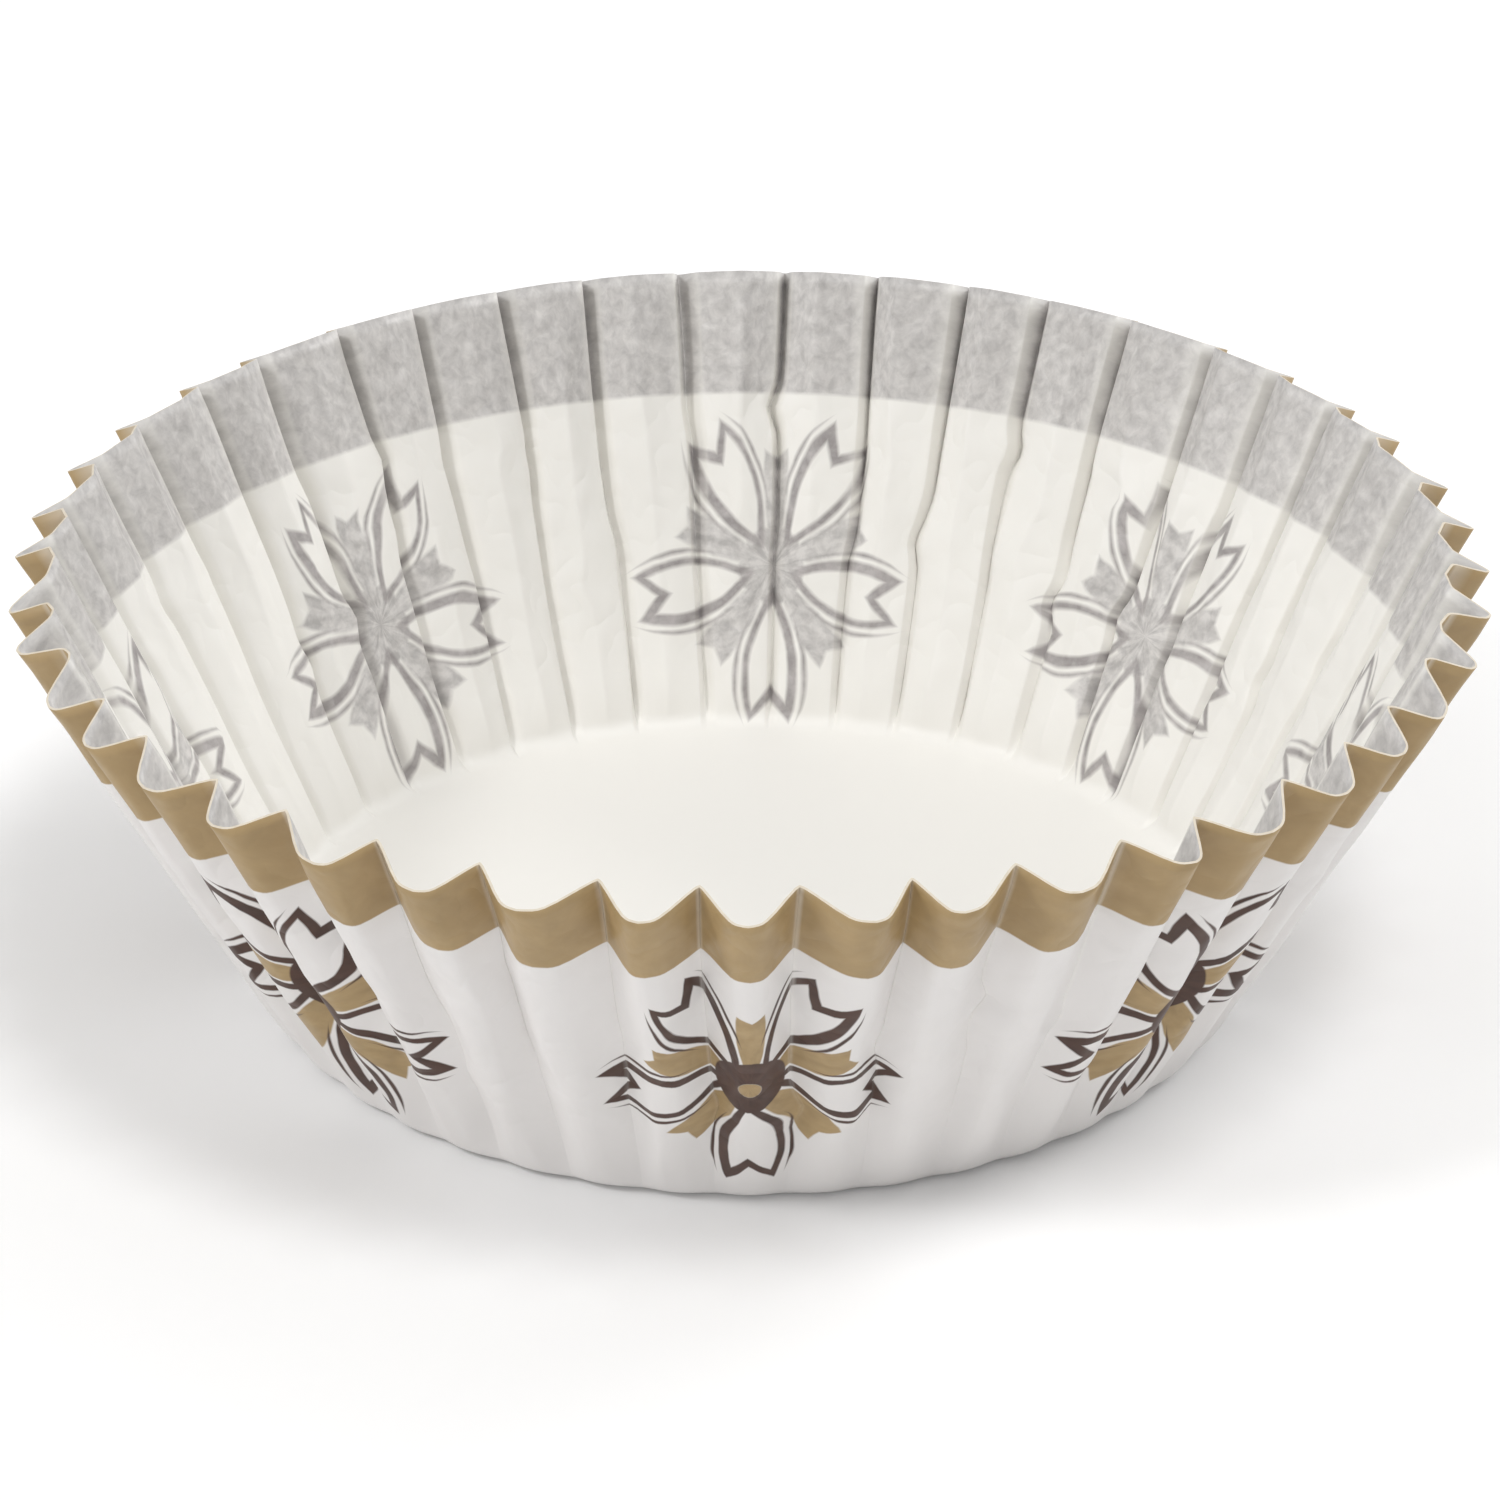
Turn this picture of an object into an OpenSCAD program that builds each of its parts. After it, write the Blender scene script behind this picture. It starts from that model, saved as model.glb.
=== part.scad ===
// Paper baking case: a round blank of greaseproof paper pressed into a fluted cup.
//
// Nothing is cut or stretched when the blank is pressed. A point that was s from the middle
// of the flat blank ends up only r from the middle of the cup, so the paper round that circle
// is too long for its new place and has to stand in flutes. Their depth follows from s and r
// alone: none on the floor, most at the rim.
// The cup stands on z = 0, with the middle of its underside at the origin.

/* [Blank] */
// Diameter of the base, where the flat floor and the wall would meet without the heel
base_d = 50; // [35:1:70]
// Height of the wall measured along its slope
wall_slant = 25; // [15:1:40]
// Thickness of the paper
paper_t = 0.12; // [0.08:0.01:0.3]

/* [Cup] */
// Angle between the wall and the table, in degrees
wall_lean = 63.5; // [55:0.5:75]
// Radius of the soft bend between floor and wall
heel_r = 1.4; // [0.8:0.1:3]

/* [Flutes] */
// Number of flutes round the wall
flute_count = 44; // [32:1:52]
// Share of a flute's width taken by its rounded folds, the rest being straight flanks
fold_share = 0.42; // [0.3:0.02:0.6]

/* [Smoothness] */
// Rows of facets round the heel
heel_rows = 2; // [2:1:3]
// Rows of facets up the wall
wall_rows = 3; // [2:1:3]

/* [Hidden] */

// The heel takes this much of the slope and of the floor, as a fillet in a corner does
heel_set = heel_r * tan(wall_lean / 2);
floor_r = base_d / 2 - heel_set;
heel_arc = heel_r * wall_lean * PI / 180;
wall_start = floor_r + heel_arc;
blank_r = wall_start + wall_slant - heel_set;

// Points across one flute, as shares of its width: five on the outer fold at 0 and 1, and five
// on the inner fold at 1/2
fold_half = fold_share / 4;
fold_phases = [-fold_half, -fold_half / 2, 0, fold_half / 2, fold_half];
flute_phases = concat(fold_phases, [for (f = fold_phases) 0.5 + f]);
flute_points = len(flute_phases);
ring_points = flute_count * flute_points;

// Distances from the middle of the blank at which a ring of points is set: the rows of the wall
// lie closer together near the heel, where the flutes deepen fastest
row_crowding = 1.6;
heel_rings = [for (i = [0 : heel_rows]) floor_r + heel_arc * i / heel_rows];
wall_rings = [for (i = [1 : wall_rows])
    wall_start + (blank_r - wall_start) * pow(i / wall_rows, row_crowding)];
rings = concat(heel_rings, wall_rings);
ring_count = len(rings);

// Section of the plain cup without its flutes, in the middle of the paper: the angle of the
// wall, its radius and its height at the distance s from the middle of the blank
function section_angle(s) = min(wall_lean, max(0, s - floor_r) / heel_r * 180 / PI);
function section_r(s) = s <= floor_r ? s
    : floor_r + heel_r * sin(section_angle(s)) + max(0, s - wall_start) * cos(wall_lean);
function section_z(s) = paper_t / 2 + heel_r * (1 - cos(section_angle(s)))
    + max(0, s - wall_start) * sin(wall_lean);

// How steep the flanks of a flute are where its paper is spare times as long as the flute is
// wide. A straight flank of slope m is sqrt(1 + m^2) times as long as it is wide, and a fold
// rounded by a parabola is the mean of that and asinh(m) / m. The few steps settle on the m at
// which folds and flanks together use up the paper exactly.
function fold_slack(m) = m < 0.01 ? 1 : ln(m + sqrt(1 + m * m)) / m;
function flank_slope(spare, m = 1, steps = 8) = steps == 0 ? m
    : let (f = fold_share / 2,
           length_ratio = (spare - f * fold_slack(m)) / (1 - f))
      flank_slope(spare, sqrt(max(0, length_ratio * length_ratio - 1)), steps - 1);

// Section across one flute for a flank slope of 1 and a width of 1: straight flanks between
// folds rounded by a parabola. Phase 0 is the top of an outer fold.
function to_fold(phase) = abs(phase - round(phase));
function half_wave(x) = x >= fold_half ? 1 / 4 - x
    : 1 / 4 - fold_half / 2 - x * x / (2 * fold_half);
function flute_wave(phase) =
    let (x = to_fold(phase)) x <= 1 / 4 ? half_wave(x) : -half_wave(1 / 2 - x);

// Height of the folds for that section at the distance s: the paper of one flute is as long as
// on the blank, 2 PI s / n, and the flute is as wide as the cup leaves it, 2 PI r / n
function flute_scale(s) =
    let (r = section_r(s)) 2 * PI * r / flute_count * flank_slope(s / r);

// A point in the middle of the paper: the flute stands off the plain cup at right angles to it
function paper_point(s, turn) =
    let (off = flute_scale(s) * flute_wave(turn * flute_count),
         lean = section_angle(s),
         r = section_r(s) + off * sin(lean),
         a = 360 * turn - 90)
    [r * cos(a), r * sin(a), section_z(s) - off * cos(lean)];

// Direction at right angles to the paper, towards the outside of the cup
s_step = 0.02;
turn_step = 0.0002;
function outward(s, turn) =
    let (along = paper_point(s + s_step, turn) - paper_point(s - s_step, turn),
         around = paper_point(s, turn + turn_step) - paper_point(s, turn - turn_step),
         n = cross(around, along))
    n / norm(n);

function turn_of(i) = (floor(i / flute_points) + flute_phases[i % flute_points]) / flute_count;
// The heel starts flat, and so does the direction there
function face_point(s, turn, side) =
    let (n = s <= floor_r ? [0, 0, -1] : outward(s, turn))
    paper_point(s, turn) + n * side * paper_t / 2;
function face_rings(side) =
    [for (s = rings) for (i = [0 : ring_points - 1]) face_point(s, turn_of(i), side)];

// Faces between ring j and the next, from the point numbered first on, seen from one side
function band(first, flip) = [
    for (j = [0 : ring_count - 2]) for (i = [0 : ring_points - 1])
        let (n = (i + 1) % ring_points,
             a = first + j * ring_points + i,
             b = first + j * ring_points + n,
             c = b + ring_points,
             d = a + ring_points)
        for (tri = flip ? [[a, c, b], [a, d, c]] : [[a, b, c], [a, c, d]]) tri];

module baking_case() {
    outer_first = 0;
    inner_first = ring_count * ring_points;
    outer_rim = inner_first - ring_points;
    inner_rim = 2 * inner_first - ring_points;
    points = concat(face_rings(1), face_rings(-1));
    underside = [[for (i = [0 : ring_points - 1]) outer_first + i]];
    floor_top = [[for (i = [ring_points - 1 : -1 : 0]) inner_first + i]];
    rim = [for (i = [0 : ring_points - 1])
        let (n = (i + 1) % ring_points)
        for (tri = [[outer_rim + i, inner_rim + i, inner_rim + n],
                    [outer_rim + i, inner_rim + n, outer_rim + n]]) tri];
    color("ivory")
        polyhedron(points, concat(underside, floor_top, band(outer_first, true),
                                  band(inner_first, false), rim), convexity = 12);
}

baking_case();
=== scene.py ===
# %% [markdown]
# # A printed paper baking case
# The object is one sheet of greaseproof paper: a round blank, printed on one side and pressed into a
# fluted cup. This lesson builds the sheet as one surface worked out from the flat blank, thickens it to
# paper, gives its two sides their own finish, and lights it on a plain white table.

# %% Load the frame
import math

import bpy
import numpy as np
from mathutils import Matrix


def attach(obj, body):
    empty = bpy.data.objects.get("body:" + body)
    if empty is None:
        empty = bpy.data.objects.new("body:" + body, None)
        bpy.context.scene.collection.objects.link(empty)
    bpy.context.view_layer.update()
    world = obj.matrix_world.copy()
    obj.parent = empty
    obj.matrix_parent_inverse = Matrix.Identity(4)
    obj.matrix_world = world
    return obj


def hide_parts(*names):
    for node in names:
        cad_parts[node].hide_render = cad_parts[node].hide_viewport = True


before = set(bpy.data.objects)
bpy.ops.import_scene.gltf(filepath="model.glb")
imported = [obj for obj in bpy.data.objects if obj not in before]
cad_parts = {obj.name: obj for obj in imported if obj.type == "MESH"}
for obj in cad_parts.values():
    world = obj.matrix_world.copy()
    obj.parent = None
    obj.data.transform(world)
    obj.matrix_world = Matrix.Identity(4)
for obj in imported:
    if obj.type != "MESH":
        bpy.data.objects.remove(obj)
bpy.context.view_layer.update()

# %% [markdown]
# ## The sizes of the case
# All lengths in this script are millimetres on the real case, and become metres only when a mesh is
# made. The case is sold by its 50 mm base and its 25 mm wall. Every other length follows from those
# two, the lean of the wall and the small radius of the heel, where the floor turns up into the wall.

# %% Driving sizes
BASE_D = 50.0
WALL_SLANT = 25.0
WALL_LEAN = math.radians(63.5)
HEEL_R = 1.4
PAPER_T = 0.12
FLUTES = 44
FOLD_SHARE = 0.42
MM = 0.001
TINY = 1e-6  # keeps a division off zero

heel_set = HEEL_R * math.tan(WALL_LEAN / 2)
floor_r = BASE_D / 2 - heel_set
heel_arc = HEEL_R * WALL_LEAN
wall_start = floor_r + heel_arc
blank_r = wall_start + WALL_SLANT - heel_set
print(f"blank: {2 * blank_r:.1f} mm across")

# %% [markdown]
# ## The plain cup
# A sheet pressed into a cup keeps its distances along the slope. So the whole shape can be written with
# s, the distance from the middle of the flat blank. A lathe profile would give the same cup, but it
# would forget where each point was on the flat paper, and both the flutes and the print need that.


# %% Section of the cup
def section(s):
    """Angle, radius and height of the plain cup at the distance s from the blank's middle: flat up to
    floor_r, then an arc of radius HEEL_R, then straight up the lean of the wall."""
    angle = np.clip((s - floor_r) / HEEL_R, 0, WALL_LEAN)
    up_wall = np.maximum(0, s - wall_start)
    radius = np.minimum(s, floor_r) + HEEL_R * np.sin(angle) + up_wall * math.cos(WALL_LEAN)
    height = PAPER_T / 2 + HEEL_R * (1 - np.cos(angle)) + up_wall * math.sin(WALL_LEAN)
    return angle, radius, height


# %% [markdown]
# ## The flutes
# A circle of the blank that ends up on a smaller circle has paper to spare, and paper can't shrink, so
# the spare length stands up in flutes. Each flute has two straight flanks between rounded folds. The
# only unknown is how steep the flanks are. A flank of slope m is sqrt(1 + m^2) times as long as it is
# wide, a rounded fold is a little shorter, and a few rounds of a fixed-point loop find the m that uses
# the paper up. A sine wave of some guessed height would look similar from above, but would be too deep
# at the heel or too shallow at the rim.


# %% Flute height from the spare paper
SETTLING_ROUNDS = 8
NEARLY_FLAT = 0.01


def flank_slope(spare):
    """Slope of the flanks for paper that is spare times as long as its flute is wide. Folds rounded by a
    parabola have the mean length of sqrt(1 + m^2) and asinh(m) / m."""
    m = np.ones_like(spare)
    for _ in range(SETTLING_ROUNDS):
        fold_slack = np.where(m < NEARLY_FLAT, 1.0, np.arcsinh(m) / np.maximum(m, TINY))
        ratio = (spare - FOLD_SHARE / 2 * fold_slack) / (1 - FOLD_SHARE / 2)
        m = np.sqrt(np.maximum(0, ratio**2 - 1))
    return m


def fold_reach(s, radius):
    """How far a fold stands off the plain cup: a quarter of the flute's width for slope 1, less what the
    two roundings take, times the slope of the flanks."""
    width = 2 * math.pi * radius / FLUTES
    return width * flank_slope(np.maximum(1, s / radius)) * (0.25 - FOLD_SHARE / 8)


s_test = np.array([wall_start, (wall_start + blank_r) / 2, blank_r])
depth = 2 * fold_reach(s_test, section(s_test)[1])
print("flute depth at heel, mid wall and rim:", np.round(depth, 2), "mm")

# %% [markdown]
# ## Where the folds are broad and where they are sharp
# A flute has an outer fold, an inner fold and a flank on each side. The two halves of the press never
# quite share a centre. Round the back the paper was drawn on to the inner half: the inner folds are
# broad panels, and the outer ones are narrow creases, crisp on one side and soft on the other. At the
# front it lay on the outer half: there the outer folds are broad and the inner ones are narrow. So each
# flank gets its own curve from its outer to its inner fold, and the sizes below are shares of the way
# between the two. One curve for all would be simpler, but then either the inside or the outside would
# look wrong.

# %% Flank curves
FOLDS = 2 * FLUTES
BACK_CRISP = {"middle": 0.085, "half": 0.06, "softness": 0.015, "panel": 0.07}
BACK_SOFT = {"middle": 0.14, "half": 0.085, "softness": 0.07, "panel": 0.1}
FRONT = {"middle": 0.64, "half": 0.34, "softness": 0.13, "panel": 0.1}
UNEVEN = 0.02
FRONT_ENDS_AT = -0.2  # sine of the bearing, -1 at the very front
CHANGE_WIDTH = 0.12
STEPS = 400
SEED = 44

rng = np.random.default_rng(SEED)
flank = np.arange(FOLDS)
flank_bearing = 2 * math.pi * (flank + 0.5) / FOLDS - math.pi / 2
to_back = 1 / (1 + np.exp(-(np.sin(flank_bearing) - FRONT_ENDS_AT) / CHANGE_WIDTH))
law = {}
for key, at_front in FRONT.items():
    at_back = np.where(flank % 2 == 0, BACK_CRISP[key], BACK_SOFT[key])
    law[key] = (at_front + (at_back - at_front) * to_back)[:, None]
law["middle"] = law["middle"] + rng.uniform(-UNEVEN, UNEVEN, FOLDS)[:, None]


def steepness(middle, half, softness, panel, u):
    """Slope of a flank at the share u of its way from the outer fold to the inner one: 1 on the steep
    stretch within half of middle, panel on the nearly flat strips beside it, smooth between them."""
    begins = np.tanh((u - middle + half) / softness)
    ends = np.tanh((u - middle - half) / softness)
    return panel + (1 - panel) * (begins - ends) / 2


steps = np.linspace(0, 1, STEPS + 1)
slopes = steepness(**law, u=(steps[1:] + steps[:-1]) / 2)
drops = np.concatenate([np.zeros((FOLDS, 1)), np.cumsum(slopes, axis=1)], axis=1)
drops /= drops[:, -1:]
print("flanks:", len(drops), "with", round(float(to_back.sum())), "of them on the inner half of the press")

# %% [markdown]
# ## The grid of the sheet
# The surface is a function of two parameters, s out from the middle and the turn round it. Rings are
# close together in the heel, where the paper bends. A flank has 10 columns, and they are shared out by
# how much it bends, so that crisp edges stay crisp and no faces are wasted on flat panels.

# %% Grid
COLUMNS_PER_FLANK = 10
EVEN_SHARE = 0.35
FOLD_WIDTH = 0.03
FLOOR_RINGS = 5
HEEL_RINGS = 7
WALL_RINGS = 41
WALL_CROWDING = 1.15
FIRST_RING = 4.0

columns = FOLDS * COLUMNS_PER_FLANK
ring_s = np.concatenate(
    [
        np.linspace(FIRST_RING, floor_r, FLOOR_RINGS, endpoint=False),
        np.linspace(floor_r, wall_start, HEEL_RINGS, endpoint=False),
        wall_start + (blank_r - wall_start) * np.linspace(0, 1, WALL_RINGS) ** WALL_CROWDING,
    ]
)


def flank_columns(slope):
    """Places of a flank's columns, from 0 to 1: equal steps of the angle that it turns through, its
    share of the turn at both folds counted in, mixed with equal steps of length."""
    lean = np.arctan(slope / slope.mean())
    at = (np.arange(STEPS) + 0.5) / STEPS
    turning = np.abs(np.gradient(lean, 1 / STEPS))
    turning += lean[0] / FOLD_WIDTH * np.exp(-at / FOLD_WIDTH)
    turning += lean[-1] / FOLD_WIDTH * np.exp(-(1 - at) / FOLD_WIDTH)
    share = EVEN_SHARE + (1 - EVEN_SHARE) * turning / turning.mean()
    upto = np.concatenate([[0], np.cumsum(share)])
    return np.interp(np.linspace(0, 1, COLUMNS_PER_FLANK + 1), upto / upto[-1], steps)


# Even flanks start at an outer fold and odd ones at an inner fold, so the odd ones are turned round
from_outer = np.array([flank_columns(slope) for slope in slopes])
starts_outer = (flank % 2 == 0)[:, None]
across = np.where(starts_outer, from_outer, 1 - from_outer[:, ::-1])[:, :-1]
from_outer = np.where(starts_outer, across, 1 - across)
dropped = np.array([np.interp(u, steps, drop) for u, drop in zip(from_outer, drops)]).ravel()
column_phase = ((flank[:, None] + across) / 2).ravel()
across = across.ravel()
from_outer = from_outer.ravel()
here = np.repeat(flank, COLUMNS_PER_FLANK)
there = (here + 1) % FOLDS
outer_fold = np.where(here % 2 == 0, here, there)
inner_fold = np.where(here % 2 == 0, there, here)
S, PHASE = np.meshgrid(ring_s, column_phase, indexing="ij")
print("grid:", S.shape)

# %% [markdown]
# ## What a real pressing does to the flutes
# The press gathers the paper freely, so no two flutes are quite alike. Their folds stand a little off
# their even places, round the back they have crept sideways together, most fold lines step or kink
# somewhere on the wall, and some flutes are shallower than others. Each of these is a small random
# number for each fold line, blended straight across the flank to the next line. Noise on the surface
# would roughen the flanks instead, which in real paper stay nearly flat. Sideways sizes are shares of a
# flute's width, and lengths up the wall are in millimetres.

# %% Irregular fold lines
SPREAD = 0.05
BACK_TURN = 0.28
STEP = 0.11
STEP_UP_WALL = (8.0, 17.0)
STEP_LENGTH = 0.4
KINK = 0.13
KINK_UP_WALL = (6.0, 17.0)
KINK_LENGTH = 0.9
WANDER = 0.018
WANDER_LENGTH = 3.1
OUTER_REACH = (0.93, 1.0)
INNER_REACH_FRONT = 0.92
INNER_REACH_BACK = (1.15, 1.4)

fold_bearing = 2 * math.pi * flank / FOLDS - math.pi / 2
fold_shift = rng.uniform(-SPREAD, SPREAD, FOLDS) - BACK_TURN * (0.5 + 0.5 * np.sin(fold_bearing))
step_size = rng.uniform(-STEP, STEP, FOLDS)
step_at = wall_start + rng.uniform(*STEP_UP_WALL, FOLDS)
kink_size = rng.uniform(-KINK, KINK, FOLDS)
kink_at = wall_start + rng.uniform(*KINK_UP_WALL, FOLDS)
wander_at = rng.uniform(0, 2 * math.pi, FOLDS)
outer_reach = rng.uniform(*OUTER_REACH, FOLDS)
inner_reach = INNER_REACH_FRONT + (rng.uniform(*INNER_REACH_BACK, FOLDS) - INNER_REACH_FRONT) * to_back


def fold_lines(s):
    """Sideways place of every fold line at the distances s, in flutes: its own shift, a step where the
    press let it slip, a short kink, and a slow wander up the wall."""
    s = s[:, None]
    step = step_size / (1 + np.exp(-(s - step_at) / STEP_LENGTH))
    wander = WANDER * np.sin((s - wall_start) / WANDER_LENGTH + wander_at)
    kink = kink_size * np.exp(-(((s - kink_at) / KINK_LENGTH) ** 2))
    return fold_shift + step + kink + wander


lines = fold_lines(ring_s)
TURN = (PHASE + lines[:, here] * (1 - across) + lines[:, there] * across) / FLUTES
print("folds shifted by up to", np.abs(lines).max().round(2), "of a flute")

# %% [markdown]
# ## Where the paper is creased, and the painted highlight on the fold edge
# Where a flank bends sharply into its panel the fibres break, and the paper whitens along a thin line.
# The same line also stands for a painted highlight on the fold edge, where it would catch the light.
# This line is kept as a number for each point of the grid, 1 on the crease and 0 away from it, and the
# materials read it. It starts a few millimetres up the wall, because the bend is soft at the heel.

# %% Creases
CREASE_WIDTH = 0.04
CREASE_STARTS = 4.0
CREASE_GROWS = 12.0

fold_edge = (law["middle"] + law["half"])[here, 0]
up_from_heel = np.clip((S - wall_start - CREASE_STARTS) / CREASE_GROWS, 0, 1)
# 1 on the line of crease whitening and painted highlight along the fold edge, 0 away from it
creased = np.exp(-(((from_outer - fold_edge) / CREASE_WIDTH) ** 2)) * up_from_heel
print("points on a crease:", int((creased > 0.5).sum()))

# %% [markdown]
# ## The middle surface of the paper
# A flute stands off the plain cup at right angles to the wall, not level: the outer folds come out and
# down, the inner ones in and up, and that is why the rim of such a case is a zigzag in height too.
# Round the back the paper is drawn tight on the inner half of the press. There the flutes begin deeper
# at the heel, and towards the rim the inner folds stand further in than the spare paper alone would
# put them. At the front they stand a little less far in. Soft cockles run over the flanks: low waves
# round and up the wall, added together.

# %% Middle surface
HEEL_DEEPER = 1.6
HEEL_DEEPER_UP_TO = 2.8
COCKLE_WAVES = 14
COCKLE = 0.02
WAVES_ROUND = (30, 110)
WAVES_UP = (0.25, 0.8)
ANY_PHASE = 6.28
COCKLES_CLEAR_OF_HEEL = 2.0
COCKLES_CLEAR_OF_RIM = 1.5

angle, radius, height = section(S)
reach = fold_reach(S, radius)
near_heel = np.exp(-(((S - wall_start) / HEEL_DEEPER_UP_TO) ** 2))
heel_deeper = 1 + HEEL_DEEPER * to_back[here] * near_heel
up_share = np.clip((S - wall_start) / (blank_r - wall_start), 0, 1)
inward = 1 + (inner_reach[inner_fold] - 1) * up_share
flute = reach * heel_deeper * (outer_reach[outer_fold] * (1 - dropped) - inward * dropped)

cockle = np.zeros_like(S)
for _ in range(COCKLE_WAVES):
    waves_round = rng.integers(*WAVES_ROUND)
    waves_up = rng.uniform(*WAVES_UP)
    cockle += np.sin(2 * math.pi * waves_round * TURN + rng.uniform(0, ANY_PHASE)) * np.sin(
        waves_up * S + rng.uniform(0, ANY_PHASE)
    )
past_heel = np.clip((S - wall_start) / COCKLES_CLEAR_OF_HEEL, 0, 1)
short_of_rim = np.clip((blank_r - S) / COCKLES_CLEAR_OF_RIM, 0, 1)
off = flute + COCKLE * cockle * past_heel * short_of_rim

bearing = 2 * math.pi * TURN - math.pi / 2
out = radius + off * np.sin(angle)
middle = np.stack([out * np.cos(bearing), out * np.sin(bearing), height - off * np.cos(angle)], -1)
print("height of the rim:", middle[-1, :, 2].min().round(2), "to", middle[-1, :, 2].max().round(2))

# %% [markdown]
# ## From a surface to a sheet
# The two faces of the paper lie half a thickness either side of the middle, along the true normal,
# which is the cross product of the surface's two directions on the grid. A Solidify modifier does the
# same, but worked out here the two sides, the cut edge and their places on the flat blank stay known.


# %% Thickness
def round_difference(a):
    """Central difference round the ring, which closes on itself."""
    return np.roll(a, -1, axis=1) - np.roll(a, 1, axis=1)


normal = np.cross(round_difference(middle), np.gradient(middle, axis=0))
normal /= np.linalg.norm(normal, axis=-1, keepdims=True)
normal[ring_s <= floor_r] = (0, 0, -1)
outer = middle + normal * PAPER_T / 2
inner = middle - normal * PAPER_T / 2

# The flat blank, seen from its printed side's bearing: the same place for both faces of the paper
flat_bearing = 2 * math.pi * PHASE / FLUTES - math.pi / 2
flat = np.stack([S * np.cos(flat_bearing), S * np.sin(flat_bearing)], -1)

# %% [markdown]
# ## One closed mesh
# The grid's rings become quads, the floor closes with a fan to one point in the middle on each face,
# and a last ring of quads joins the two faces along the cut edge. Three materials go with the three
# kinds of face: printed side, plain side and edge.

# %% Build the mesh
PRINTED, PLAIN, EDGE = 0, 1, 2
rings = len(ring_s)
per_side = rings * columns
column = np.arange(columns)
following = (column + 1) % columns


def quads(first, facing_out):
    """Quads between each ring and the next, on the side whose points start at first."""
    low = first + np.arange(rings - 1)[:, None] * columns
    a, b = low + column, low + following
    corners = [a, b, b + columns, a + columns] if facing_out else [b, a, a + columns, b + columns]
    return np.stack(corners, -1).reshape(-1, 4)


outer_pole, inner_pole = 2 * per_side, 2 * per_side + 1
outer_rim, inner_rim = per_side - columns, 2 * per_side - columns
points = np.concatenate(
    [outer.reshape(-1, 3), inner.reshape(-1, 3), [(0, 0, 0), (0, 0, PAPER_T)]]
)
printed = quads(0, True)
plain = quads(per_side, False)
edge = np.stack(
    [outer_rim + column, outer_rim + following, inner_rim + following, inner_rim + column], -1
)
under_fan = np.stack([following, column, np.full(columns, outer_pole)], -1)
floor_fan = np.stack([per_side + column, per_side + following, np.full(columns, inner_pole)], -1)
faces = [*printed.tolist(), *plain.tolist(), *edge.tolist(), *under_fan.tolist(), *floor_fan.tolist()]
kinds = np.repeat(
    [PRINTED, PLAIN, EDGE, PRINTED, PLAIN],
    [len(printed), len(plain), len(edge), len(under_fan), len(floor_fan)],
)

mesh = bpy.data.meshes.new("paper_case")
mesh.from_pydata((points * MM).tolist(), [], faces)
mesh.polygons.foreach_set("material_index", kinds)
mesh.polygons.foreach_set("use_smooth", kinds != EDGE)
mesh.update()
print("triangles:", sum(len(f) - 2 for f in faces))

# %% [markdown]
# ## Two maps of the paper
# The print was made on the flat sheet, so its map is the flat blank itself, 100 mm to the unit with
# the middle at 0.5. A second map lays the two faces as discs in opposite corners of the unit square,
# without overlap, for baking. The cut edge is a thin ring round the printed face's disc. The crease
# line, whitened paper with a painted highlight on it, goes along as an attribute of the points.

# %% UV maps
MAP_MM = 100.0
DISC = 0.29
DISC_MARGIN = 0.005
EDGE_RING = 0.35
EDGE_ROOM = 0.4

flat_all = np.concatenate([flat.reshape(-1, 2), flat.reshape(-1, 2), [(0, 0), (0, 0)]])
corner_point = np.empty(len(mesh.loops), dtype=np.int64)
mesh.loops.foreach_get("vertex_index", corner_point)
corner_kind = np.repeat(kinds, [len(f) for f in faces])
at = flat_all[corner_point]

blank_map = mesh.uv_layers.new(name="flat_blank")
blank_map.uv.foreach_set("vector", (at / MAP_MM + 0.5).astype(np.float32).ravel())

on_plain = (corner_kind == PLAIN)[:, None]
centre = np.where(on_plain, 1 - DISC - DISC_MARGIN, DISC + DISC_MARGIN)
disc_scale = DISC / (blank_r + EDGE_ROOM)
lifted = at / np.maximum(np.linalg.norm(at, axis=1, keepdims=True), TINY) * EDGE_RING
on_inner_rim = ((corner_kind == EDGE) & (corner_point >= per_side))[:, None]
bake_at = centre + (at + lifted * on_inner_rim) * disc_scale
bake_map = mesh.uv_layers.new(name="OFBake")
bake_map.uv.foreach_set("vector", bake_at.astype(np.float32).ravel())
mesh.uv_layers.active = blank_map

# The crease line as an attribute: crease whitening plus a painted highlight of the fold edge
crease = mesh.attributes.new("crease", "FLOAT", "POINT")
crease.data.foreach_set("value", np.concatenate([creased.ravel(), creased.ravel(), [0, 0]]))

case = bpy.data.objects.new("paper_case", mesh)
bpy.context.scene.collection.objects.link(case)
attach(case, "root")
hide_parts("baking_case")
print("maps:", [layer.name for layer in mesh.uv_layers])

# %% [markdown]
# ## Colours and nodes
# Colours are written as sRGB hex values, the way they are read off a colour card, and turned to the
# linear values that the shaders use.


# %% Helpers
def linear(hex_colour):
    """The sRGB curve undone for each of the three channels of a hex colour."""
    srgb = [int(hex_colour[i : i + 2], 16) / 255 for i in (1, 3, 5)]
    return [c / 12.92 if c <= 0.04045 else ((c + 0.055) / 1.055) ** 2.4 for c in srgb] + [1.0]


MATH = "ShaderNodeMath"


def add(tree, kind, *inputs, output=0, **settings):
    """Adds a node with its settings. Each input is a value to set, a socket to link, or None. Gives one
    of the node's outputs, or nothing for a node at the end of the tree."""
    made = tree.nodes.new(kind)
    for name, value in settings.items():
        setattr(made, name, value)
    sockets = [s for s in made.inputs if s.enabled]
    for socket, value in zip(sockets, inputs):
        if isinstance(value, bpy.types.NodeSocket):
            tree.links.new(value, socket)
        elif value is not None:
            socket.default_value = value
    outputs = [s for s in made.outputs if s.enabled]
    return outputs[output] if outputs else None


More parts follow.
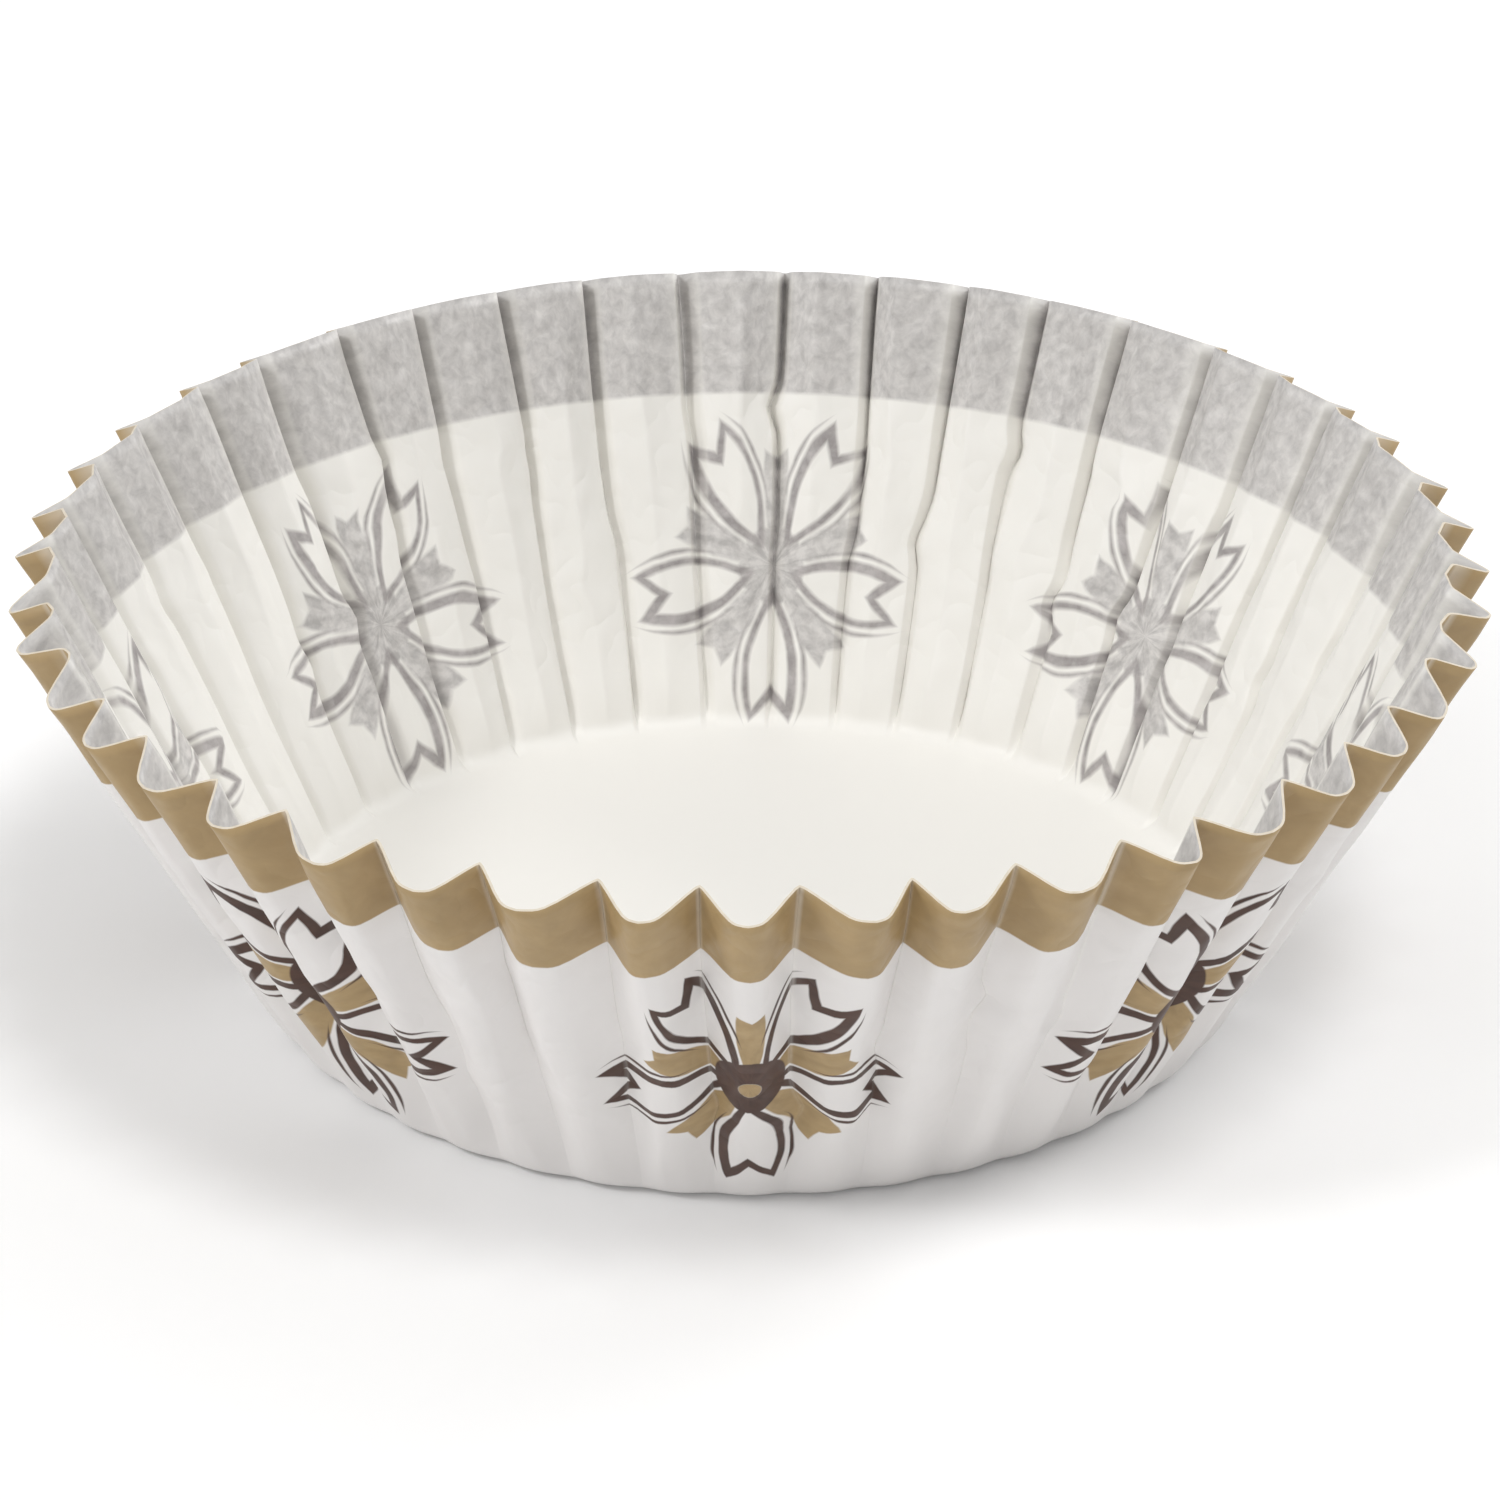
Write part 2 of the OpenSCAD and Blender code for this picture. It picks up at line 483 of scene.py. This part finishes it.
# %% [markdown]
# ## The print
# The printed side has a gold band at the rim and a ring of eight blossoms, one every 45 degrees, all
# standing with a petal towards the heel. The print sits a millimetre off the middle of the blank, so
# the band is two millimetres wider at the back than at the front. Each blossom has five notched petals
# in brown line, five short gold petals between them, and a brown hub with a gold oval.
# It is drawn with sums in the material, on the flat blank. A drawn image could do it too, but sums stay
# sharp at any distance and can be changed by a number.

# %% Print sizes in mm
BAND_W = 5.7
PRINT_SHIFT = 1.0
BLOSSOMS = 8
BLOSSOM_RING = 34.6
PETAL_TURN = math.radians(72)
PRINTED_EDGE = 0.09
THROUGH_EDGE = 0.24
WAVER_SCALE = 0.55  # waves per mm
WAVER = 0.2


# %% Places on the print
def on_blank(tree):
    """The point's place on the blank in mm from the middle of the print, and the same place wavering a
    little, as the edge of a printed line does."""
    blank = add(tree, "ShaderNodeUVMap", uv_map="flat_blank")
    corner = (-0.5 * MAP_MM, -0.5 * MAP_MM + PRINT_SHIFT, 0)
    where = add(tree, "ShaderNodeMapping", blank, corner, (0, 0, 0), (MAP_MM, MAP_MM, 1))
    waver = add(tree, "ShaderNodeTexNoise", where, WAVER_SCALE, 1.0, output=1)
    waver = add(tree, "ShaderNodeVectorMath", waver, (0.5, 0.5, 0.5), operation="SUBTRACT")
    waver = add(tree, "ShaderNodeVectorMath", waver, (WAVER, WAVER, 0), operation="MULTIPLY")
    return where, add(tree, "ShaderNodeVectorMath", where, waver, operation="ADD")


def in_blossom(tree, drawn):
    """A point's place in the nearest blossom, in mm: its distance s from the middle of the print, how
    far up it is towards the rim, the square of its distance to the side, and its reach and bearing
    from the blossom's own middle."""
    x = add(tree, "ShaderNodeSeparateXYZ", drawn)
    y = add(tree, "ShaderNodeSeparateXYZ", drawn, output=1)
    back = add(tree, MATH, y, -1, operation="MULTIPLY")
    round_print = add(tree, MATH, x, back, operation="ARCTAN2")
    half = math.pi / BLOSSOMS
    local = add(tree, MATH, round_print, half, -half, operation="WRAP")
    s = add(tree, "ShaderNodeVectorMath", drawn, operation="LENGTH")
    right = add(tree, MATH, s, add(tree, MATH, local, operation="SINE"), operation="MULTIPLY")
    outwards = add(tree, MATH, s, add(tree, MATH, local, operation="COSINE"), operation="MULTIPLY")
    up = add(tree, MATH, outwards, BLOSSOM_RING, operation="SUBTRACT")
    right_sq = add(tree, MATH, right, right, operation="MULTIPLY")
    reach_sq = add(tree, MATH, up, up, right_sq, operation="MULTIPLY_ADD")
    reach = add(tree, MATH, reach_sq, operation="SQRT")
    bearing_in = add(tree, MATH, right, up, operation="ARCTAN2")
    return {"s": s, "up": up, "right_sq": right_sq, "reach": reach, "bearing": bearing_in}


# %% Petals
def ink(tree, depth_in, edge):
    """How much ink lies where a shape's edge is depth_in mm away, positive inside, for an edge this
    many mm soft."""
    return add(tree, MATH, depth_in, 1 / edge, 0.5, operation="MULTIPLY_ADD", use_clamp=True)


def petal_axes(tree, at, first):
    """Along and across coordinates, in mm, in the nearest of five petals, one of them at first."""
    turned = add(tree, MATH, at["bearing"], first, operation="SUBTRACT")
    folded = add(tree, MATH, turned, PETAL_TURN / 2, -PETAL_TURN / 2, operation="WRAP")
    cosine, sine = (add(tree, MATH, folded, operation=kind) for kind in ("COSINE", "SINE"))
    along = add(tree, MATH, at["reach"], cosine, operation="MULTIPLY")
    side = add(tree, MATH, at["reach"], sine, operation="MULTIPLY")
    return along, side


def petal_depth(tree, along, side, root, spread, length, tip, notch):
    """Distance inside a petal's outline. Its half width is spread * (u - root) * (1 - (u - root) /
    length), and it ends in two points with a notch between them: u = tip + notch * |v|."""
    narrowing = add(tree, MATH, along, -1 / length, 1 + root / length, operation="MULTIPLY_ADD")
    widening = add(tree, MATH, along, spread, -root * spread, operation="MULTIPLY_ADD")
    half_width = add(tree, MATH, widening, narrowing, operation="MULTIPLY")
    away = add(tree, MATH, side, operation="ABSOLUTE")
    in_sides = add(tree, MATH, half_width, away, operation="SUBTRACT")
    end = add(tree, MATH, away, notch, tip, operation="MULTIPLY_ADD")
    past = add(tree, MATH, end, along, operation="SUBTRACT")
    in_end = add(tree, MATH, past, 1 / math.hypot(1, notch), operation="MULTIPLY")
    return add(tree, MATH, in_sides, in_end, operation="MINIMUM"), in_sides


# %% Blossom
OUTLINED = {"root": 1.2, "spread": 0.74, "length": 9.7, "tip": 7.4, "notch": 1.15}
OUTLINE_W = 0.52
OUTLINE_GROWS = 0.09
ECHO_GAP = 0.4
ECHO_HALF_W = 0.12
ECHO_MIDDLE = 5.9
ECHO_TAPER = 0.02
SHORT = {"root": 0.5, "spread": 0.4, "length": 9.5, "tip": 5.9, "notch": 0.5}
HUB_R = 2.2
OVAL_HALF_W = 0.72
OVAL_SQUASH = 1.2
OVAL_LOWER = 0.15


def outlined_petals(tree, at, edge):
    """The line round each petal, heavier on one side than on the other, and beside it a thin echo that
    tapers with the square of the distance from its middle."""
    along, side = petal_axes(tree, at, PETAL_TURN / 2)
    depth_in, in_sides = petal_depth(tree, along, side, **OUTLINED)
    line_w = add(tree, MATH, side, OUTLINE_GROWS, OUTLINE_W, operation="MULTIPLY_ADD")
    inside = ink(tree, depth_in, edge)
    hollow = ink(tree, add(tree, MATH, depth_in, line_w, operation="SUBTRACT"), edge)
    outline = add(tree, MATH, inside, hollow, operation="SUBTRACT")
    off_echo = add(tree, MATH, add(tree, MATH, in_sides, ECHO_GAP, operation="ADD"), operation="ABSOLUTE")
    from_middle = add(tree, MATH, along, ECHO_MIDDLE, operation="SUBTRACT")
    taper = add(tree, MATH, from_middle, from_middle, operation="MULTIPLY")
    echo_w = add(tree, MATH, taper, -ECHO_TAPER, ECHO_HALF_W, operation="MULTIPLY_ADD")
    echo = ink(tree, add(tree, MATH, echo_w, off_echo, operation="SUBTRACT"), edge)
    return add(tree, MATH, outline, echo, operation="MAXIMUM")


def short_petals(tree, at, edge):
    """The solid petals between the outlined ones."""
    along, side = petal_axes(tree, at, 0)
    return ink(tree, petal_depth(tree, along, side, **SHORT)[0], edge)


def hub_and_oval(tree, at, edge):
    """A disc, and in it an oval: the points within its half width of its middle, with heights
    stretched by the squash."""
    hub = ink(tree, add(tree, MATH, HUB_R, at["reach"], operation="SUBTRACT"), edge)
    low = add(tree, MATH, at["up"], OVAL_LOWER, operation="ADD")
    stretched = add(tree, MATH, low, OVAL_SQUASH, operation="MULTIPLY")
    oval_sq = add(tree, MATH, stretched, stretched, at["right_sq"], operation="MULTIPLY_ADD")
    from_oval = add(tree, MATH, oval_sq, operation="SQRT")
    return hub, ink(tree, add(tree, MATH, OVAL_HALF_W, from_oval, operation="SUBTRACT"), edge)


# %% Masks of the whole print
STROKES_ROUND = 5.0
STROKES_OUT = 0.35
MEAN_NOISE = 0.5


def strokes(tree, at, band):
    """Streaks that run out from the middle of a blossom, from 0 to 1: noise taken from the bearing and,
    more slowly, from the reach. The band has none."""
    turned = add(tree, MATH, at["bearing"], STROKES_ROUND, operation="MULTIPLY")
    outwards = add(tree, MATH, at["reach"], STROKES_OUT, operation="MULTIPLY")
    stroke_at = add(tree, "ShaderNodeCombineXYZ", turned, outwards, at["s"])
    streaks = add(tree, "ShaderNodeTexNoise", stroke_at, 1.0, 2.0, 0.6)
    return add(tree, "ShaderNodeMix", band, streaks, MEAN_NOISE)


def print_masks(tree, edge):
    """Masks of the inks at a point of the blank, with edges this many mm soft, the strokes that the ink
    lies in, and the point's place on the blank in mm."""
    where, drawn = on_blank(tree)
    at = in_blossom(tree, drawn)
    s = add(tree, "ShaderNodeVectorMath", where, operation="LENGTH")
    band = ink(tree, add(tree, MATH, s, blank_r - BAND_W, operation="SUBTRACT"), edge)
    hub, oval = hub_and_oval(tree, at, edge)
    return {
        "gold": add(tree, MATH, band, short_petals(tree, at, edge), operation="MAXIMUM"),
        "oval": oval,
        "hub": hub,
        "lines": outlined_petals(tree, at, edge),
        "strokes": strokes(tree, at, band),
        "where": where,
    }


# %% [markdown]
# ## Greaseproof paper
# Greaseproof paper is beaten so hard in the mill that its fibres close up: it is smooth, faintly waxy
# and half clear. Close to, it is cloudy, with short curled fibres a few tenths of a millimetre across.
# The ink is printed on one side only. From the other side it shows through as a cool grey, and the
# cloudiness of the paper shows in it. Light that really passes through the sheet would give that too,
# but a grey painted on the plain side is quicker to render and easier to match.

# %% Paper surface
GREASEPROOF_IOR = 1.45
FIBRE_MM = 0.6
FIBRE_RELIEF = (0.12, 0.04 * MM)  # strength and height of the bump
RIPPLE_MM = 2.4
RIPPLE_RELIEF = (0.5, 0.5 * MM)
RIPPLES_START = 1.0
RIPPLES_FULL = 5.0


def fibres(tree, where, size_mm):
    """Curled streaks of the fibres, from 0 to 1: noise bent by its own distortion."""
    return add(tree, "ShaderNodeTexNoise", where, 1 / size_mm, 3.0, 0.6, 2.2, 0.35)


def paper_surface(tree, colour, where, roughness):
    """The paper's shader: its colour, a matt to silky face, a faint relief of the fibres, and on the
    wall the creased ripples that the press leaves, |noise - mean|."""
    grain = add(tree, "ShaderNodeTexNoise", where, 1 / FIBRE_MM, 2.0, 0.6)
    fibre_relief = add(tree, "ShaderNodeBump", *FIBRE_RELIEF, None, grain)
    s = add(tree, "ShaderNodeVectorMath", where, operation="LENGTH")
    up_wall = add(tree, "ShaderNodeMapRange", s, wall_start + RIPPLES_START, wall_start + RIPPLES_FULL)
    ripples = add(tree, "ShaderNodeTexNoise", where, 1 / RIPPLE_MM, 1.0, 0.5)
    from_mean = add(tree, MATH, ripples, MEAN_NOISE, operation="SUBTRACT")
    creases = add(tree, MATH, add(tree, MATH, from_mean, operation="ABSOLUTE"), up_wall, operation="MULTIPLY")
    relief = add(tree, "ShaderNodeBump", *RIPPLE_RELIEF, None, creases, fibre_relief)
    shader = tree.nodes.new("ShaderNodeBsdfPrincipled")
    tree.links.new(colour, shader.inputs["Base Color"])
    tree.links.new(relief, shader.inputs["Normal"])
    shader.inputs["Roughness"].default_value = roughness
    shader.inputs["IOR"].default_value = GREASEPROOF_IOR
    add(tree, "ShaderNodeOutputMaterial", shader.outputs[0])


def new_material(name):
    """A material with no nodes yet, and its tree."""
    made = bpy.data.materials.new(name)
    made.use_nodes = True
    made.node_tree.nodes.clear()
    return made, made.node_tree


def crease_whitening_and_highlight(tree, strength):
    """How much a sharp fold has whitened the paper, and how strong the painted highlight along it is."""
    # Reads the crease line: crease whitening plus a painted highlight of the fold edge
    whitened_and_highlit = add(tree, "ShaderNodeAttribute", attribute_name="crease", output=2)
    return add(tree, MATH, whitened_and_highlit, strength, operation="MULTIPLY")


# %% Printed side
PAPER_WHITE = linear("#EDEAE8")
GOLD_INK = linear("#B59B70")
GOLD_DARK = linear("#A1885F")
BROWN_INK = linear("#3C241A")
BROWN_THIN = linear("#503529")
# Colour of the crease line: whitened paper, and a painted highlight of the fold edge
CREASE_WHITE_AND_HIGHLIGHT = linear("#F5F3ED")
INK_CLOUD_MM = 2.6
INK_CLOUD = (0.7, 1.3)  # least and most of fibres and strokes together
# How far the crease line lightens the ink: cracked ink plus painted highlight
INK_CRACKED_AND_HIGHLIGHT = 0.35
PRINTED_ROUGHNESS = 0.42


def printed_side():
    """White greaseproof paper with gold and brown ink lying on it: flat, silky colours, a little cloudy
    where the ink lay thicker, and paler along the creases, where the ink has cracked and a painted
    highlight lies on the fold edge."""
    made, tree = new_material("greaseproof_paper_printed")
    masks = print_masks(tree, PRINTED_EDGE)
    where = masks["where"]
    gold = add(tree, MATH, masks["gold"], masks["oval"], operation="MAXIMUM")
    brown = add(tree, MATH, masks["hub"], masks["lines"], operation="MAXIMUM")
    brown = add(tree, MATH, brown, masks["oval"], operation="SUBTRACT", use_clamp=True)
    cloud = add(tree, MATH, fibres(tree, where, INK_CLOUD_MM), masks["strokes"], operation="ADD")
    cloud = add(tree, "ShaderNodeMapRange", cloud, *INK_CLOUD)
    gold_ink = add(tree, "ShaderNodeMix", cloud, GOLD_DARK, GOLD_INK, data_type="RGBA")
    brown_ink = add(tree, "ShaderNodeMix", cloud, BROWN_INK, BROWN_THIN, data_type="RGBA")
    colour = add(tree, "ShaderNodeMix", gold, PAPER_WHITE, gold_ink, data_type="RGBA")
    colour = add(tree, "ShaderNodeMix", brown, colour, brown_ink, data_type="RGBA")
    # Paler along the creases: cracked ink, and a painted highlight on the fold edge
    cracked_and_highlit = crease_whitening_and_highlight(tree, INK_CRACKED_AND_HIGHLIGHT)
    colour = add(tree, "ShaderNodeMix", cracked_and_highlit, colour, CREASE_WHITE_AND_HIGHLIGHT, data_type="RGBA")
    paper_surface(tree, colour, where, PRINTED_ROUGHNESS)
    return made


# %% Plain side
PLAIN_WHITE = linear("#F0EEE9")
GOLD_THROUGH = linear("#D8D5D2")
GOLD_CLOUD = linear("#B2AFAD")
BROWN_THROUGH = linear("#B7B2B1")
BROWN_CLOUD = linear("#989392")
THROUGH_CLOUD_MM = 0.8
THROUGH_CLOUD = (0.77, 1.23)
# How far the crease line whitens the plain side: crease whitening plus painted highlight
CREASE_WHITENS_AND_HIGHLIGHTS = 0.6
PLAIN_ROUGHNESS = 0.45


def plain_side():
    """The unprinted side of the paper, matt and a little warmer: the ink shows through as grey, soft at
    its edges, clouded by the fibres, and whitened along the creases, partly by the crease and partly
    as a painted highlight of the fold edge."""
    made, tree = new_material("greaseproof_paper_plain")
    masks = print_masks(tree, THROUGH_EDGE)
    where = masks["where"]
    pale = add(tree, MATH, masks["gold"], masks["hub"], operation="MAXIMUM")
    cloud = add(tree, MATH, fibres(tree, where, THROUGH_CLOUD_MM), masks["strokes"], operation="ADD")
    cloud = add(tree, "ShaderNodeMapRange", cloud, *THROUGH_CLOUD)
    gold_grey = add(tree, "ShaderNodeMix", cloud, GOLD_CLOUD, GOLD_THROUGH, data_type="RGBA")
    brown_grey = add(tree, "ShaderNodeMix", cloud, BROWN_CLOUD, BROWN_THROUGH, data_type="RGBA")
    colour = add(tree, "ShaderNodeMix", pale, PLAIN_WHITE, gold_grey, data_type="RGBA")
    colour = add(tree, "ShaderNodeMix", masks["lines"], colour, brown_grey, data_type="RGBA")
    # Whitened along the creases: the crease itself, and a painted highlight on the fold edge
    whitened_and_highlit = crease_whitening_and_highlight(tree, CREASE_WHITENS_AND_HIGHLIGHTS)
    colour = add(tree, "ShaderNodeMix", whitened_and_highlit, colour, CREASE_WHITE_AND_HIGHLIGHT, data_type="RGBA")
    paper_surface(tree, colour, where, PLAIN_ROUGHNESS)
    return made


# %% Cut edge
EDGE_LIGHT = linear("#E9E1D2")
EDGE_DARK = linear("#CFC3AE")
EDGE_FIBRE_MM = 0.5
EDGE_ROUGHNESS = 0.8


def cut_edge():
    """The blank's die-cut edge: bare fibres, matt, and a pale line against the gold."""
    made, tree = new_material("greaseproof_paper_cut_edge")
    where = add(tree, "ShaderNodeTexCoord", output=3)
    cloud = add(tree, "ShaderNodeTexNoise", where, 1 / (EDGE_FIBRE_MM * MM), 2.0)
    shader = tree.nodes.new("ShaderNodeBsdfPrincipled")
    colour = add(tree, "ShaderNodeMix", cloud, EDGE_DARK, EDGE_LIGHT, data_type="RGBA")
    tree.links.new(colour, shader.inputs["Base Color"])
    shader.inputs["Roughness"].default_value = EDGE_ROUGHNESS
    add(tree, "ShaderNodeOutputMaterial", shader.outputs[0])
    return made


for made in (printed_side(), plain_side(), cut_edge()):
    mesh.materials.append(made)
print("materials:", [m.name for m in mesh.materials])

# %% [markdown]
# ## Table, light and camera
# The case stands on a white table, as in a catalogue picture. Away from the case, what looks at the
# table directly or in a reflection sees part of it as plain white, so the background stays white
# without more light on the paper. Near the case that part is small, and the soft shadow stays.

# %% Table
TABLE_HALF = 3.0
TABLE_WHITE = linear("#F3F3F3")
PLAIN_GLOW = 1.6
SHADOW_ENDS = 26 * MM
ALL_WHITE_FROM = 60 * MM
GLOW_NEAR = 0.03
GLOW_AWAY = 0.26
WHITE = (1, 1, 1, 1)


def looked_at(tree):
    """1 for a ray that looks at the surface directly, in a reflection or through glass, and 0 for one
    that carries its light to something else."""
    rays = tree.nodes.new("ShaderNodeLightPath")
    by_camera, by_glossy, by_glass = (
        rays.outputs[kind] for kind in ("Is Camera Ray", "Is Glossy Ray", "Is Transmission Ray")
    )
    seen = add(tree, MATH, by_camera, by_glossy, operation="MAXIMUM")
    return add(tree, MATH, seen, by_glass, operation="MAXIMUM")


def table_top():
    """Matt white board, part plain white where it is looked at away from the case."""
    made, tree = new_material("white_table")
    board = add(tree, "ShaderNodeBsdfDiffuse", TABLE_WHITE)
    glow = add(tree, "ShaderNodeEmission", WHITE, PLAIN_GLOW)
    where = add(tree, "ShaderNodeTexCoord", output=3)
    away = add(tree, "ShaderNodeVectorMath", where, operation="LENGTH")
    clear = add(tree, "ShaderNodeMapRange", away, SHADOW_ENDS, ALL_WHITE_FROM, GLOW_NEAR, GLOW_AWAY)
    share = add(tree, MATH, looked_at(tree), clear, operation="MULTIPLY")
    add(tree, "ShaderNodeOutputMaterial", add(tree, "ShaderNodeMixShader", share, board, glow))
    return made


table_mesh = bpy.data.meshes.new("table")
corners = [(-1, -1), (1, -1), (1, 1), (-1, 1)]
table_mesh.from_pydata([(TABLE_HALF * x, TABLE_HALF * y, 0) for x, y in corners], [], [(0, 1, 2, 3)])
table_mesh.materials.append(table_top())
table = bpy.data.objects.new("table", table_mesh)
bpy.context.scene.collection.objects.link(table)

# %% [markdown]
# ## Lamps
# Four soft lamps, each with its place in metres, its size and its watts. The key stands at the left
# front and models the far wall. The top one lights the floor. The one at the back right stands low
# enough to reach the inside of the left wall and not much of the floor, which would otherwise clip to
# white. The last, low at the left, is faint and lights the outside. A dim white room fills the shadows.
# One large lamp would be softer still, but it would flatten the flutes.

# %% Lamps
CASE_MIDDLE = (0, 0, 0.01)
LAMPS = (
    ("key", (-0.6, -0.35, 0.7), 0.16, 2.5),
    ("top", (0.22, -0.28, 0.94), 0.25, 3.1),
    ("rim", (0.78, 0.5, 0.48), 0.3, 3.5),
    ("low", (-0.9, -0.5, 0.25), 0.3, 1.0),
)
ROOM_LIGHT = 0.45


def softbox(name, place, size, watts):
    """A square area light that faces the middle of the case."""
    data = bpy.data.lights.new(name, "AREA")
    data.size = size
    data.energy = watts
    made = bpy.data.objects.new(name, data)
    made.location = place
    toward = np.array(CASE_MIDDLE) - place
    lens_axis = toward / np.linalg.norm(toward)
    pitch = math.acos(-lens_axis[2])
    yaw = math.atan2(lens_axis[1], lens_axis[0]) - math.pi / 2
    made.rotation_euler = (pitch, 0, yaw)
    bpy.context.scene.collection.objects.link(made)


for name, place, size, watts in LAMPS:
    softbox(name, place, size, watts)

world = bpy.data.worlds.new("studio")
bpy.context.scene.world = world
world.use_nodes = True
tree = world.node_tree
tree.nodes.clear()
soft_room = add(tree, "ShaderNodeBackground", WHITE, ROOM_LIGHT)
white_room = add(tree, "ShaderNodeBackground", WHITE, 1.0)
shown = add(tree, "ShaderNodeMixShader", looked_at(tree), soft_room, white_room)
add(tree, "ShaderNodeOutputWorld", shown)
print("lamps:", [name for name, *_ in LAMPS])

# %% [markdown]
# ## Camera
# The camera stands where the rim's folds, the band's edge and the base line of the real case line up
# with it: far off, with a long lens, 26 degrees above the rim's centre and looking down a little more
# steeply than that, because the picture's middle lies below the rim.

# %% Camera
CAMERA_AWAY = 320.0
CAMERA_ABOVE = math.radians(25.83)
RIM_CENTRE_Z = 22.9
LENS = 152.6
SENSOR_W = 36.0
NEAREST = 0.01
LOOK_LOWER = math.radians(1.81)

cam_data = bpy.data.cameras.new("camera")
cam_data.lens = LENS
cam_data.sensor_width = SENSOR_W
cam_data.clip_start = NEAREST
camera = bpy.data.objects.new("camera", cam_data)
camera.location = (
    0,
    -CAMERA_AWAY * math.cos(CAMERA_ABOVE) * MM,
    (CAMERA_AWAY * math.sin(CAMERA_ABOVE) + RIM_CENTRE_Z) * MM,
)
camera.rotation_euler = (math.pi / 2 - CAMERA_ABOVE - LOOK_LOWER, 0, 0)
bpy.context.scene.collection.objects.link(camera)
bpy.context.scene.camera = camera
bpy.context.scene.view_settings.view_transform = "Standard"

# %% Update the scene
bpy.context.view_layer.update()
